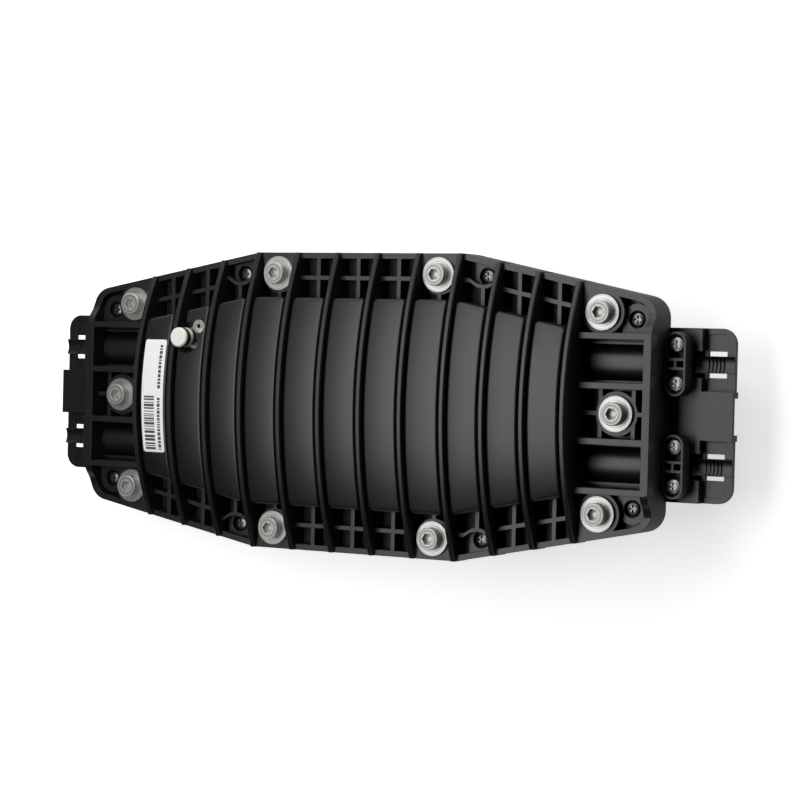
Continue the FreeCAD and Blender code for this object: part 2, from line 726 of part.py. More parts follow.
def base_shell():
    """Moulded base: flange, tub, ribs that it stands on, nut bosses, port troughs and tray posts."""
    flange = prism(plan_wire(HALF_LENGTH, 0, CORNER_RADIUS), FLANGE_UNDER, SEAM)
    stations = (-CORE_END, -WAIST_X, WAIST_X, CORE_END)
    tub = ruled([tub_wire(x, DOME_INSET, TUB_UNDER, TUB_ROUND) for x in stations])
    below = block((-HALF_LENGTH, HALF_LENGTH), (-HALF_WIDTH, HALF_WIDTH), (FLOOR_PLANE, SEAM))
    shapes = [flange, tub]
    shapes += [base_rib(x) for x in rib_stations()]
    shapes += [rod(WAIST_BOSS_R, x, y, (NUT_BOSS_UNDER, SEAM)) for x, y in bolt_places()]
    shapes += both_ends([port_body((PORT_IN_X, HALF_LENGTH), y, PIPE_WALL).common(below)
                         for y in (-PORT_Y, PORT_Y)])
    shell = joined(shapes)

    inner_stations = (-CAVITY_END, -WAIST_X, WAIST_X, CAVITY_END)
    hollow = [tub_wire(x, CAVITY_INSET, TUB_UNDER + BASE_SKIN, TUB_ROUND - BASE_SKIN) for x in inner_stations]
    cuts = [ruled(hollow), gasket_loop()]
    cuts += both_ends([port_body((CAVITY_END - WALL, HALF_LENGTH + WALL), y, 0) for y in (-PORT_Y, PORT_Y)])
    for x, y in bolt_places():
        cuts.append(rod(BASE_HOLE_R, x, y, (NUT_BOSS_UNDER, SEAM)))
        cuts.append(hexagon(NUT_FLATS, x, y, (NUT_BOSS_UNDER, NUT_BOSS_UNDER + NUT_T)))
    cuts += [rod(SCREW_HOLE_R, x, y, (FLANGE_UNDER, SEAM)) for x, y, _ in screw_places()]
    screw_x, screw_y = TONGUE_SCREW
    cuts += both_ends([rod(SCREW_SHANK_R, screw_x, sign * screw_y, (FLANGE_UNDER, TONGUE_PILOT_TOP))
                       for sign in (-1, 1)])
    shell = shell.cut(cuts)

    posts = [block((sx * ANCHOR_X - ANCHOR_SIZE[0] / 2, sx * ANCHOR_X + ANCHOR_SIZE[0] / 2),
                   (sy * PORT_Y - ANCHOR_SIZE[1] / 2, sy * PORT_Y + ANCHOR_SIZE[1] / 2),
                   (TUB_UNDER + BASE_SKIN / 2, ANCHOR_POST_TOP)) for sx in (-1, 1) for sy in (-1, 1)]
    shell = shell.multiFuse(posts)
    holes = [rod(SCREW_SHANK_R, sx * ANCHOR_X, sy * PORT_Y, (ANCHOR_POST_TOP - SCREW_LENGTH, ANCHOR_POST_TOP))
             for sx in (-1, 1) for sy in (-1, 1)]
    return shell.cut(holes).removeSplitter()


# Seals

def gasket_strips():
    """The gasket's four strips, each running from one port seal to the next."""
    gaps = both_ends([port_body((GASKET_END - 2 * GASKET_WIDTH, GASKET_END + GASKET_WIDTH), y, 0)
                      for y in (-PORT_Y, PORT_Y)])
    strips = gasket_loop().cut(gaps).Solids
    names = {}
    for strip in strips:
        centre = strip.CenterOfMass
        if abs(centre.x) > abs(centre.y):
            names["end_gasket_" + ("right" if centre.x > 0 else "left")] = strip
        else:
            names["side_gasket_" + ("rear" if centre.y > 0 else "front")] = strip
    return names


def port_seal(end, side):
    """Rubber port seal, shaped to the port, with a round way through for the cable."""
    y = side * PORT_Y
    seal = port_body((SEAL_IN_X, HALF_LENGTH), y, 0)
    seal = seal.cut(lying_rod(CABLE_R, (SEAL_IN_X, HALF_LENGTH), y, PORT_AXIS_Z))
    if end < 0:
        seal = seal.mirror(V(0, 0, 0), ALONG)
    return seal


# Fasteners

def bolt(x, y):
    """Socket-head bolt, its head on the washer."""
    seat = RIM_TOP + WASHER_T
    top = seat + BOLT_HEAD_H
    body = turned([(0, seat - BOLT_LENGTH), (BOLT_R, seat - BOLT_LENGTH), (BOLT_R, seat), (BOLT_HEAD_R, seat),
                   (BOLT_HEAD_R, top - HEAD_CHAMFER), (BOLT_HEAD_R - HEAD_CHAMFER, top), (0, top)], x, y)
    return body.cut(hexagon(HEX_SOCKET_FLATS, x, y, (top - HEX_SOCKET_DEPTH, top)))


def washer(x, y):
    """Plain washer under a bolt head."""
    return rod(WASHER_R, x, y, (RIM_TOP, RIM_TOP + WASHER_T)).cut(
        rod(WASHER_BORE_R, x, y, (RIM_TOP, RIM_TOP + WASHER_T)))


def nut(x, y):
    """Hexagon nut in its pocket under the base's flange."""
    span = (NUT_BOSS_UNDER, NUT_BOSS_UNDER + NUT_T)
    return hexagon(NUT_FLATS, x, y, span).cut(rod(NUT_BORE_R, x, y, span))


def pan_screw(x, y, seat, head_r, head_h, length):
    """Pan-head screw with a cross recess, its head sitting at height seat."""
    top = seat + head_h
    crown = [(wide * head_r, seat + high * head_h) for wide, high in HEAD_PROFILE]
    shank = [(0, seat - length), (SCREW_SHANK_R, seat - length), (SCREW_SHANK_R, seat), (head_r, seat)]
    body = turned(shank + crown + [(0, top)], x, y)
    for span in ((RECESS_SPAN, RECESS_WIDTH), (RECESS_WIDTH, RECESS_SPAN)):
        body = body.cut(block((x - span[0] / 2, x + span[0] / 2), (y - span[1] / 2, y + span[1] / 2),
                              (top - RECESS_DEPTH, top)))
    return body


def hanging_screw(x, y):
    """Pan-head screw that holds a bracket's tongue up against the flange."""
    seat = FLANGE_UNDER - TONGUE_T
    screw = pan_screw(x, y, seat, SCREW_HEAD_R, SCREW_HEAD_H, TONGUE_SCREW_LENGTH)
    screw.rotate(V(x, y, seat), ALONG, 180)
    return screw


# End brackets and cable clamps

def end_bracket(end):
    """Moulded bracket: clamp deck, middle block, lower tie frames with slots, and ribbed cable saddles."""
    full = (-BRACKET_HALF_Y, BRACKET_HALF_Y)
    corners = [BRACKET_CORNER, 0, 0, BRACKET_CORNER]
    frame = prism(polygon_wire(rectangle((TIE_X - WALL, BRACKET_END), full), corners), TIE_UNDER, TIE_TOP)
    deck = block((HALF_LENGTH, TIE_X), full, (BRACKET_UNDER, BRACKET_TOP))
    deck = deck.cut(block((HALF_LENGTH + WALL, TIE_X - WALL), (WALL - BRACKET_HALF_Y, BRACKET_HALF_Y - WALL),
                          (BRACKET_UNDER, BRACKET_TOP - BRACKET_SKIN)))
    middle = block((TIE_X - WALL, BLOCK_END), (-BLOCK_HALF_Y, BLOCK_HALF_Y), (TIE_UNDER, BRACKET_TOP))
    tongue = block((TONGUE_IN_X, HALF_LENGTH + WALL), (-TONGUE_HALF_Y, TONGUE_HALF_Y),
                   (FLANGE_UNDER - TONGUE_T, FLANGE_UNDER))
    shapes = [frame, deck, middle, tongue]
    for y in (-PORT_Y, PORT_Y):
        shapes += [rod(POST_R, CLAMP_X, y + off, (BRACKET_UNDER, BRACKET_TOP))
                   for off in (-CLAMP_SCREW_OFF, CLAMP_SCREW_OFF)]
        across = (y - CHANNEL_HALF - CHANNEL_WALL, y + CHANNEL_HALF + CHANNEL_WALL)
        shapes.append(block((HALF_LENGTH, TIE_X), across, (CHANNEL_UNDER - CHANNEL_WALL, BRACKET_TOP)))
    bracket = joined(shapes)

    cuts = [block((TIE_X, BLOCK_END), (WALL - BLOCK_HALF_Y, BLOCK_HALF_Y - WALL),
                  (TIE_UNDER, BRACKET_TOP - BLOCK_SKIN))]
    for y in (-PORT_Y, PORT_Y):
        across = (y - CHANNEL_HALF, y + CHANNEL_HALF)
        cuts.append(block((HALF_LENGTH, TIE_X), across, (CHANNEL_UNDER, BRACKET_TOP)))
        for off in (-TIE_SLOT_OFF, TIE_SLOT_OFF):
            cuts.append(block(TIE_SLOT_X, (y + off - TIE_SLOT_WIDE / 2, y + off + TIE_SLOT_WIDE / 2),
                              (BRACKET_UNDER, BRACKET_TOP)))
        for off in (-CLAMP_SCREW_OFF, CLAMP_SCREW_OFF):
            cuts.append(rod(CLAMP_SCREW_HOLE_R, CLAMP_X, y + off, (BRACKET_UNDER, BRACKET_TOP)))
        for panel in PANEL_Y:
            span = sorted(math.copysign(edge, y) for edge in panel)
            outline = polygon_wire(rectangle(PANEL_X, span), PANEL_CORNER)
            cuts.append(prism(outline, TIE_TOP - PANEL_DEEP, TIE_TOP))
    for sign in (-1, 1):
        cuts.append(rod(SCREW_SHANK_R, TONGUE_SCREW[0], sign * TONGUE_SCREW[1],
                        (FLANGE_UNDER - TONGUE_T, FLANGE_UNDER)))
    bracket = bracket.cut(cuts)
    bracket = bracket.multiFuse([cable_saddle(y) for y in (-PORT_Y, PORT_Y)]).removeSplitter()
    return turned_to(bracket, end)


def cable_saddle(y):
    """Hollowed saddle that a cable lies in, with grip ridges across it."""
    body = block((SADDLE_IN_X, BRACKET_END), (y - SADDLE_HALF, y + SADDLE_HALF), (TIE_UNDER, SADDLE_TOP))
    body = body.cut(lying_rod(TROUGH_R, (SADDLE_IN_X, BRACKET_END), y, PORT_AXIS_Z))
    parts = [body]
    for k in range(RIDGES):
        x = RIDGE_X + k * RIDGE_PITCH
        span = (x - RIDGE_WIDE / 2, x + RIDGE_WIDE / 2)
        strip = block(span, (y - SADDLE_HALF, y + SADDLE_HALF), (TIE_UNDER, SADDLE_TOP))
        parts.append(strip.cut(lying_rod(TROUGH_R - RIDGE_HIGH, span, y, PORT_AXIS_Z)))
    return joined(parts)


def stadium(half_x, half_y, z):
    """Upright bar with round ends along Y."""
    left, right = CLAMP_X - half_x, CLAMP_X + half_x
    run = half_y - half_x
    edges = [Part.makeLine(V(right, -run, 0), V(right, run, 0)),
             Part.Arc(V(right, run, 0), V(CLAMP_X, half_y, 0), V(left, run, 0)).toShape(),
             Part.makeLine(V(left, run, 0), V(left, -run, 0)),
             Part.Arc(V(left, -run, 0), V(CLAMP_X, -half_y, 0), V(right, -run, 0)).toShape()]
    return prism(Part.Wire(edges), *z)


def cable_clamp(end, side):
    """Clamp bar: rimmed and dished on top, with screw seats and cored-out pockets between them."""
    half_x = CLAMP_WIDE / 2
    half_y = CLAMP_LONG / 2
    dish = CLAMP_TOP - CLAMP_DISH
    bar = stadium(half_x, half_y, (BRACKET_TOP, CLAMP_TOP))
    bar = bar.cut(stadium(half_x - CLAMP_RIM, half_y - CLAMP_RIM, (dish, CLAMP_TOP)))
    inner = half_x - CLAMP_RIM
    web = CLAMP_BRIDGE_T / 2
    across = (CLAMP_X - inner, CLAMP_X + inner)
    bridges = [block(across, (y - web, y + web), (dish, CLAMP_TOP))
               for y in (-CLAMP_BRIDGE_Y, CLAMP_BRIDGE_Y)]
    window = (web - CLAMP_BRIDGE_Y, CLAMP_BRIDGE_Y - web)
    bridges.append(block((CLAMP_X - web, CLAMP_X + web), window, (dish, CLAMP_TOP)))
    bar = bar.multiFuse(bridges)
    deep = (CLAMP_TOP - CLAMP_POCKET, CLAMP_TOP)
    cuts = [block((CLAMP_X - inner, CLAMP_X - web), window, deep),
            block((CLAMP_X + web, CLAMP_X + inner), window, deep)]
    for sign in (-1, 1):
        cuts.append(block(across, sorted(sign * y for y in CLAMP_POCKET_Y), deep))
        cuts.append(rod(CLAMP_HOLE_R, CLAMP_X, sign * CLAMP_SCREW_OFF, (BRACKET_TOP, CLAMP_TOP)))
    bar = bar.cut(cuts).removeSplitter()
    bar.translate(V(0, side * end * PORT_Y, 0))
    return turned_to(bar, end)


def clamp_screws(end, side):
    """The two screws of one clamp bar."""
    seat = CLAMP_TOP - CLAMP_DISH
    screws = [pan_screw(end * CLAMP_X, side * PORT_Y + off, seat,
                        CLAMP_HEAD_R, CLAMP_HEAD_H, CLAMP_SCREW_LENGTH)
              for off in (-CLAMP_SCREW_OFF, CLAMP_SCREW_OFF)]
    return Part.makeCompound(screws)


# Pressure test valve

def valve_body():
    """Turned valve: flange, barrel and a hollow stem that passes through the cover."""
    tip = VALVE_CAP_LOW + STEM_TIP
    below = [(STEM_BORE_R, STEM_UNDER), (STEM_R, STEM_UNDER), (STEM_R, VALVE_FLOOR)]
    flange = [(VALVE_FLANGE_R, VALVE_FLOOR), (VALVE_FLANGE_R, VALVE_BARREL_LOW)]
    barrel = [(BARREL_R, VALVE_BARREL_LOW), (BARREL_R, VALVE_NECK_LOW)]
    stem = [(STEM_R, VALVE_NECK_LOW), (STEM_R, tip), (STEM_BORE_R, tip)]
    return turned(below + flange + barrel + stem, *VALVE_AT)


def valve_neck_ring():
    """Rubber ring between the barrel and the cap."""
    return turned([(STEM_R, VALVE_NECK_LOW), (NECK_R, VALVE_NECK_LOW), (NECK_R, VALVE_CAP_LOW),
                   (STEM_R, VALVE_CAP_LOW)], *VALVE_AT)


def valve_cap():
    """Turned dust cap over the stem's tip, open below."""
    top = VALVE_CAP_LOW + CAP_H
    ceiling = VALVE_CAP_LOW + STEM_TIP + SEAL_SLACK
    return turned([(CAP_BORE_R, VALVE_CAP_LOW), (CAP_R, VALVE_CAP_LOW), (CAP_R, top - CAP_ROUND),
                   (CAP_R - CAP_ROUND, top), (0, top), (0, ceiling), (CAP_BORE_R, ceiling)], *VALVE_AT)


def valve_pin():
    """Core pin inside the stem's bore, with a guide collar that seats on the bore's wall."""
    tip = VALVE_CAP_LOW + STEM_TIP - PIN_SUNK
    collar = tip - PIN_LENGTH / 2
    low = tip - PIN_LENGTH
    shoulder = collar + PIN_COLLAR
    return turned([(0, low), (PIN_R, low), (PIN_R, collar), (STEM_BORE_R, collar),
                   (STEM_BORE_R, shoulder), (PIN_R, shoulder), (PIN_R, tip), (0, tip)], *VALVE_AT)


def valve_seal():
    """Rubber washer under the recess."""
    high = VALVE_FLOOR - RECESS_SKIN
    return rod(VALVE_SEAL_R, *VALVE_AT, (high - VALVE_SEAL_T, high)).cut(
        rod(STEM_R, *VALVE_AT, (high - VALVE_SEAL_T, high)))


def valve_nut():
    """Hexagon nut that holds the valve from inside the cover."""
    high = VALVE_FLOOR - RECESS_SKIN - VALVE_SEAL_T
    span = (high - VALVE_NUT_T, high)
    return hexagon(VALVE_NUT_FLATS, *VALVE_AT, span).cut(rod(STEM_R, *VALVE_AT, span))


def valve_tag():
    """Bent tag washer on the valve's flange, its ear lying over the pad beside the recess."""
    low = VALVE_BARREL_LOW
    x, y = VALVE_AT
    ear_x, ear_y = x + TAG_EAR_AT[0], y + TAG_EAR_AT[1]
    ring = rod(VALVE_FLANGE_R, x, y, (low, low + TAG_T))
    lean = math.degrees(math.atan2(TAG_EAR_AT[1], TAG_EAR_AT[0]))
    reach = math.hypot(*TAG_EAR_AT)
    post_x = VALVE_FLANGE_R + TAG_T
    strip = (-TAG_HALF, TAG_HALF)
    pieces = [block((0, post_x), strip, (low, low + TAG_T)),
              block((post_x - TAG_T, post_x), strip, (low, TAG_EAR_Z + TAG_T)),
              block((post_x - TAG_T, reach), strip, (TAG_EAR_Z, TAG_EAR_Z + TAG_T))]
    for piece in pieces:
        piece.rotate(V(0, 0, 0), UP, lean)
        piece.translate(V(x, y, 0))
    ear = rod(TAG_EAR_R, ear_x, ear_y, (TAG_EAR_Z, TAG_EAR_Z + TAG_T))
    tag = joined([ring, ear] + pieces)
    tag = tag.cut(rod(BARREL_R, x, y, (low, low + TAG_T)))
    return tag.cut(rod(TAG_HOLE_R, ear_x, ear_y, (TAG_EAR_Z, TAG_EAR_Z + TAG_T)))


def pad_film(span, x, y, high, low):
    """Thin film over a plan rectangle of one pad, between two drops from the ribs' tops."""
    film = arched_solid(span, DOME_INSET, SEAM, high).cut(arched_solid(span, DOME_INSET, SEAM, low))
    return film.common(prism(polygon_wire(rectangle(x, y), LABEL_CORNER), SEAM, RIB_APEX))


def label():
    """Thin blank label lying on the first pad."""
    return pad_film(pad_span(*rib_stations()[:2]), LABEL_X, LABEL_Y, PAD_DROP - LABEL_T, PAD_DROP)


def label_place():
    """Shallow line round the place for a second label on the last pad."""
    film = pad_film(pad_span(*rib_stations()[-2:]), PLACE_X, PLACE_Y, 0, PAD_DROP + PLACE_DEEP)
    inner = [(low + PLACE_LINE, high - PLACE_LINE) for low, high in (PLACE_X, PLACE_Y)]
    return film.cut(prism(polygon_wire(rectangle(*inner), LABEL_CORNER), SEAM, RIB_APEX))


# Splice trays and what they stand in

def tray_plan(inset):
    """Rounded plan of a tray."""
    half_x = TRAY_HALF_X - inset
    half_y = TRAY_HALF_Y - inset
    return polygon_wire(rectangle((-half_x, half_x), (-half_y, half_y)), TRAY_CORNER - inset)


def dish(low, high, inset):
    """Open dish with a thin floor and wall."""
    return prism(tray_plan(inset), low, high).cut(prism(tray_plan(inset + TRAY_WALL), low + TRAY_WALL, high))


def hinge_ears(low, high, offset, root):
    """Pair of ears at the trays' left end, reaching in to station root."""
    ears = []
    for sign in (-1, 1):
        y = sign * (HINGE_EAR_Y + offset)
        across = sorted((y, y + sign * HINGE_EAR_T))
        ears.append(block((HINGE_X - HINGE_EAR_REACH, root), across, (low, high)))
    return ears


def fibre_basket():
    """Storage dish for loose tubes, with the two posts that carry the tray hinge."""
    top = BASKET_HIGH + 2 * TRAY_H
    posts = hinge_ears(BASKET_LOW, top, HINGE_EAR_T, POST_ROOT_X)
    feet = hinge_ears(BASKET_LOW, BASKET_HIGH, HINGE_EAR_T, POST_FOOT_X)
    basket = joined([dish(BASKET_LOW, BASKET_HIGH, BASKET_INSET)] + posts + feet)
    return basket.cut(hinge_pin_rods(HINGE_PIN_R))


def splice_tray(level):
    """Splice tray: dish with two fibre hubs, guide tabs and hinge ears."""
    low = BASKET_HIGH + level * TRAY_H
    high = low + TRAY_H
    shapes = [dish(low, high, 0)] + hinge_ears(low, high, 0, EAR_ROOT_X)
    for sign in (-1, 1):
        hub = rod(HUB_R, sign * HUB_X, 0, (low, high - HUB_DROP))
        shapes.append(hub.cut(rod(HUB_R - TRAY_WALL, sign * HUB_X, 0, (low, high))))
        for side in (-1, 1):
            edge = sorted((side * (TRAY_HALF_Y - TAB_REACH), side * (TRAY_HALF_Y - TRAY_WALL / 2)))
            along = (sign * HUB_X - TAB_HALF, sign * HUB_X + TAB_HALF)
            shapes.append(block(along, edge, (high - TRAY_WALL, high)))
    return joined(shapes).cut(hinge_pin_rods(HINGE_PIN_R))


def hinge_pin_rods(radius):
    """Hinge pins, one for each tray, across the ears and posts."""
    reach = HINGE_EAR_Y + 2 * HINGE_EAR_T
    heights = [BASKET_HIGH + (level + 0.5) * TRAY_H for level in (0, 1)]
    rods = [Part.makeCylinder(radius, 2 * reach, V(HINGE_X, -reach, z), V(0, 1, 0)) for z in heights]
    return Part.makeCompound(rods)


def tray_lid():
    """Clear lid on the upper tray."""
    low = BASKET_HIGH + 2 * TRAY_H
    return prism(tray_plan(0), low, low + LID_T)


def splice_holder(level):
    """Comb that holds the splice sleeves in the middle of a tray."""
    low = BASKET_HIGH + level * TRAY_H + TRAY_WALL
    half_x, half_y = HOLDER_SIZE[0] / 2, HOLDER_SIZE[1] / 2
    shapes = [block((-half_x, half_x), (-half_y, half_y), (low, low + HOLDER_BASE))]
    pitch = (HOLDER_SIZE[1] - FIN_T) / (HOLDER_FINS - 1)
    for k in range(HOLDER_FINS):
        y = -half_y + FIN_T / 2 + k * pitch
        shapes.append(block((-half_x, half_x), (y - FIN_T / 2, y + FIN_T / 2), (low, low + FIN_H)))
    return joined(shapes)


def strength_anchor(end, side):
    """Metal bar that grips a cable's strength member on its post."""
    x, y = end * ANCHOR_X, side * PORT_Y
    half_x, half_y = ANCHOR_SIZE[0] / 2, ANCHOR_SIZE[1] / 2
    span = (ANCHOR_POST_TOP, ANCHOR_POST_TOP + ANCHOR_T)
    points = rectangle((x - half_x, x + half_x), (y - half_y, y + half_y))
    bar = prism(polygon_wire(points, ANCHOR_CORNER), *span)
    return bar.cut(rod(SCREW_SHANK_R, x, y, span))


# Export of every node

def main():
    os.makedirs("parts", exist_ok=True)
    save("base_shell", base_shell())
    save("top_cover", top_cover())
    for name, strip in gasket_strips().items():
        save(name, strip)
    save("cover_bolts", Part.makeCompound([bolt(x, y) for x, y in bolt_places()]))
    save("bolt_washers", Part.makeCompound([washer(x, y) for x, y in bolt_places()]))
    save("base_nuts", Part.makeCompound([nut(x, y) for x, y in bolt_places()]))
    save("cover_screws", Part.makeCompound(
        [pan_screw(x, y, seat, SCREW_HEAD_R, SCREW_HEAD_H, COVER_SCREW_LENGTH)
         for x, y, seat in screw_places()]))
    tongue_screws = [hanging_screw(end * TONGUE_SCREW[0], sign * TONGUE_SCREW[1])
                     for _, end in ENDS for sign in (-1, 1)]
    save("bracket_screws", Part.makeCompound(tongue_screws))
    anchor_screws = []
    for end_name, end in ENDS:
        save("end_bracket_" + end_name, end_bracket(end))
        for side_name, side in SIDES:
            place = end_name + "_" + side_name
            save("port_seal_" + place, port_seal(end, side))
            save("cable_clamp_" + place, cable_clamp(end, side))
            save("clamp_screws_" + place, clamp_screws(end, side))
            save("strength_anchor_" + place, strength_anchor(end, side))
            anchor_screws.append(pan_screw(end * ANCHOR_X, side * PORT_Y, ANCHOR_POST_TOP + ANCHOR_T,
                                           SCREW_HEAD_R, SCREW_HEAD_H, SCREW_LENGTH))
    save("anchor_screws", Part.makeCompound(anchor_screws))
    save("valve_body", valve_body())
    save("valve_neck_ring", valve_neck_ring())
    save("valve_cap", valve_cap())
    save("valve_pin", valve_pin())
    save("valve_seal", valve_seal())
    save("valve_nut", valve_nut())
    save("valve_tag", valve_tag())
    save("label", label())
    save("fibre_basket", fibre_basket())
    for level, name in enumerate(("lower", "upper")):
        save(name + "_splice_tray", splice_tray(level))
        save(name + "_splice_holder", splice_holder(level))
    save("tray_lid", tray_lid())
    save("tray_hinge_pins", hinge_pin_rods(HINGE_PIN_R))


main()
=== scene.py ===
"""Looks of the inline splice closure: its finishes, pads, label and print, and a studio to see it in.

Metres, in the closure's own frame: X along it, Y across it, +Z out of the cover.
"""
import bmesh
import bpy
import math
import random
from mathutils import Matrix, Vector


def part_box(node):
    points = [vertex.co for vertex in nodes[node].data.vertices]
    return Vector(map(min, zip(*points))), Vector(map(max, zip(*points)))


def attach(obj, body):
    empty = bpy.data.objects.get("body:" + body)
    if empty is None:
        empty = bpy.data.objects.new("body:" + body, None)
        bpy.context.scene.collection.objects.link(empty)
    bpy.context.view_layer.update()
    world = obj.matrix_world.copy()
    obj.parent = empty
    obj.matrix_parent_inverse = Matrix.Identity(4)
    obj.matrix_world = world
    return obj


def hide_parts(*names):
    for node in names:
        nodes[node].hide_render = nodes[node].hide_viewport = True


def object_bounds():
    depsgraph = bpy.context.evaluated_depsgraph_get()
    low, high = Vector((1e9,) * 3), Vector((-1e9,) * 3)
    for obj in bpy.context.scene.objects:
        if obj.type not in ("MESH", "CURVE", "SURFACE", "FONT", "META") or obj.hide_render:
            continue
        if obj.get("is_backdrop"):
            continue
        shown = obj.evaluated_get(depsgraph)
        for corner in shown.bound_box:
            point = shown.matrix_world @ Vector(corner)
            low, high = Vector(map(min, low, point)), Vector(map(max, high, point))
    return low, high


MM = 0.001

# Camera, at the photograph's viewing angle
CAMERA_AT = Vector((0.5470, 0.0319, 1.0061))
CAMERA_AIM = Vector((-0.0003, 0.0011, 0.0))
CAMERA_UP = Vector((-0.0340, 0.9994, -0.0121))
CAMERA_LENS_MM = 106.81
CAMERA_SENSOR_MM = 36.0

# Colour sockets of a Mix node, whose names its number and vector sockets share
MIX_FROM = 6
MIX_TO = 7
MIX_RESULT = 2

# Mouldings: upward share of a face's normal at which the face counts as upright and as level
UPRIGHT = 0.2
LEVEL = 0.7

# Roughness that drawing from the tool adds to upright faces, and the specular level of both kinds of face
DRAWN_SIDES = 0.28
SIDE_SHINE = 0.28
FACE_SHINE = 0.5

# Sizes and depths of the finishes' patterns and softened edges, in millimetres
GRAIN_DEEP_MM = 0.05
RING_DEEP_MM = 0.03
METAL_EDGE_MM = 0.15
BLAST_MM = 0.4
BLOOM_MM = 4.0
MOTTLE_MM = 2.5
WEAR_MM = 0.6
HAZE_MM = 9.0

# Samples that soften an edge, and the roughness of the lid's clearest and haziest spots
EDGE_SAMPLES = 6
HAZE_ROUGHNESS = (0.03, 0.12)

# Black ring round the dust cap, as shares of the cap's height
GRIP_RING = (0.38, 0.80)

# Fastener axes in one quarter of the closure, in millimetres
BOLT_AXES = ((124.7, 44.6), (42.8, 60.4), (132.2, 0.0))
COVER_SCREW_AXES = ((139.4, 41.7), (65.0, 60.0))
CLAMP_SCREW_AXES = ((156.0, 13.9), (156.0, 31.3))
BASE_SCREW_AXES = ((146.2, 7.0), (100.0, 22.6))

# The cover's arched section and its ribs, in millimetres
HALF_WIDTH_MM = 70.2
WAIST_X_MM = 54.3
EDGE_SLOPE = 0.2035
RIB_APEX_MM = 61.3
RIB_EDGE_MM = 46.0
RIB_THICK_MM = 2.5
RIBS_AT_MM = (10.75, 32.25, 53.75, 73.58, 93.41, 113.24)

# Pads between the ribs, in millimetres, with depths measured down from the ribs' tops
PAD_DEEP_MM = 1.1
PAD_FOOT_MM = 5.2
PAD_GAP_MM = 1.1
PAD_INSET_MM = 21.3
PAD_CORNER_MM = 2.2
PAD_ROUND_MM = 1.2
LEAST_BEND_MM = 0.1

# Steps round a rounded corner and along a pad's side, and the angle from which an edge is crisp
ROUND_STEPS = 5
QUARTER_TURN = [math.pi / 2 * k / ROUND_STEPS for k in range(ROUND_STEPS + 1)]
SIDE_STEPS = 32
SHARP_DEG = 35

# Cuts in the pads: the valve's well, its gutter and tag on the second, a label place on the last
VALVE_MM = (-86.0, 28.9)
VALVE_AXES = ((abs(VALVE_MM[0]), VALVE_MM[1]),)
WELL_R_MM = 7.5
GUTTER_X_MM = (-92.2, -87.7)
TAG_MM = (-80.4, 34.3)
TAG_R_MM = 3.5
CUT_LOW_MM = 45.0
CUT_HIGH_MM = 65.0
CUT_SIDES = 48
PLACE_X_MM = (97.2, 109.2)
PLACE_Y_MM = (-31.8, 28.0)
PLACE_LINE_MM = 0.7
PLACE_DEEP_MM = 0.3

# Label on the first pad, in millimetres
LABEL_X_MM = (-109.4, -97.1)
LABEL_Y_MM = (-26.8, 27.5)
LABEL_THICK_MM = 0.25
LABEL_ROUND_MM = LABEL_THICK_MM / 4
LABEL_CORNER_MM = 1.2

# Print on the label, in millimetres along Y from the label's rear end and along X from its left edge
PRINT_LIFT_MM = 0.02
PRINT_DEEP_MM = 0.10
BARS_ACROSS_MM = (1.5, 7.3)
BARS_ALONG_MM = (27.2, 53.0)
BAR_WIDTHS_MM = (0.45, 0.8, 1.2)
GAP_WIDTHS_MM = (0.45, 0.6, 0.9)
ROW_ACROSS_MM = (9.0, 10.6)
ROWS_ALONG_MM = ((2.6, 23.6), (28.0, 53.0))
DASH_LENGTHS_MM = (0.7, 1.1, 1.6)
DASH_GAP_MM = 0.5
PRINT_SEED = 7

# Floor: half its side in metres, its colour, and what it adds where it is seen
FLOOR_HALF = 6.0
FLOOR_COLOUR = "#f6f6f6"
FLOOR_LIFT = 0.64

# Surround: the walls are whitest in one direction, and fade round to a share of that and up to the ceiling
WALL_STRENGTH = 0.7
WALLS_FACE = (-0.3, 0.95, 0.0)
WALL_TURNS = (-0.4, 0.6)
FAR_WALL_SHARE = 0.12
CEILING_STRENGTH = 0.03
WALL_FADES_DEG = (16, 32)

# Lamps: name, place, what it points at, size and power in watts
LIGHTS = (
    ("key_softbox", (-0.085, 0.07, 0.46), (-0.085, 0.07, 0.0), (0.29, 0.56), 1.5),
    ("rear_softbox", (0.05, 0.85, 0.62), (0.0, 0.0, 0.04), (0.90, 0.35), 3.0),
    ("left_strip", (-1.30, 0.10, 0.45), (0.0, 0.0, 0.05), (0.25, 1.40), 0.15),
)

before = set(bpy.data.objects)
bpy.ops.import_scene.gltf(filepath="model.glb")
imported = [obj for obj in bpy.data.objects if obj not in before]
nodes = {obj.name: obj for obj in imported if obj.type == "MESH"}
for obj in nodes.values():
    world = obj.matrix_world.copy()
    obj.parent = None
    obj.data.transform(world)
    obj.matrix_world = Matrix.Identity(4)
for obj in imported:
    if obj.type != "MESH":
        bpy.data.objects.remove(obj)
cad_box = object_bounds()


# Small tools for colours and node trees

def linear(hex_colour):
    """Linear RGBA from an sRGB hex value."""
    channels = [int(hex_colour[k:k + 2], 16) / 255 for k in (1, 3, 5)]
    curve = [c / 12.92 if c <= 0.04045 else ((c + 0.055) / 1.055) ** 2.4 for c in channels]
    return (*curve, 1.0)


def per_metre(size_mm):
    """Texture scale at which one cell of a pattern is size_mm across."""
    return 1 / (size_mm * MM)


def add(tree, kind, inputs=None, **settings):
    """Adds a node, sets its properties, and sets or links each named input."""
    node = tree.nodes.new(kind)
    for name, value in settings.items():
        setattr(node, name, value)
    for name, value in (inputs or {}).items():
        if isinstance(value, bpy.types.NodeSocket):
            tree.links.new(value, node.inputs[name])
        else:
            node.inputs[name].default_value = value
    return node


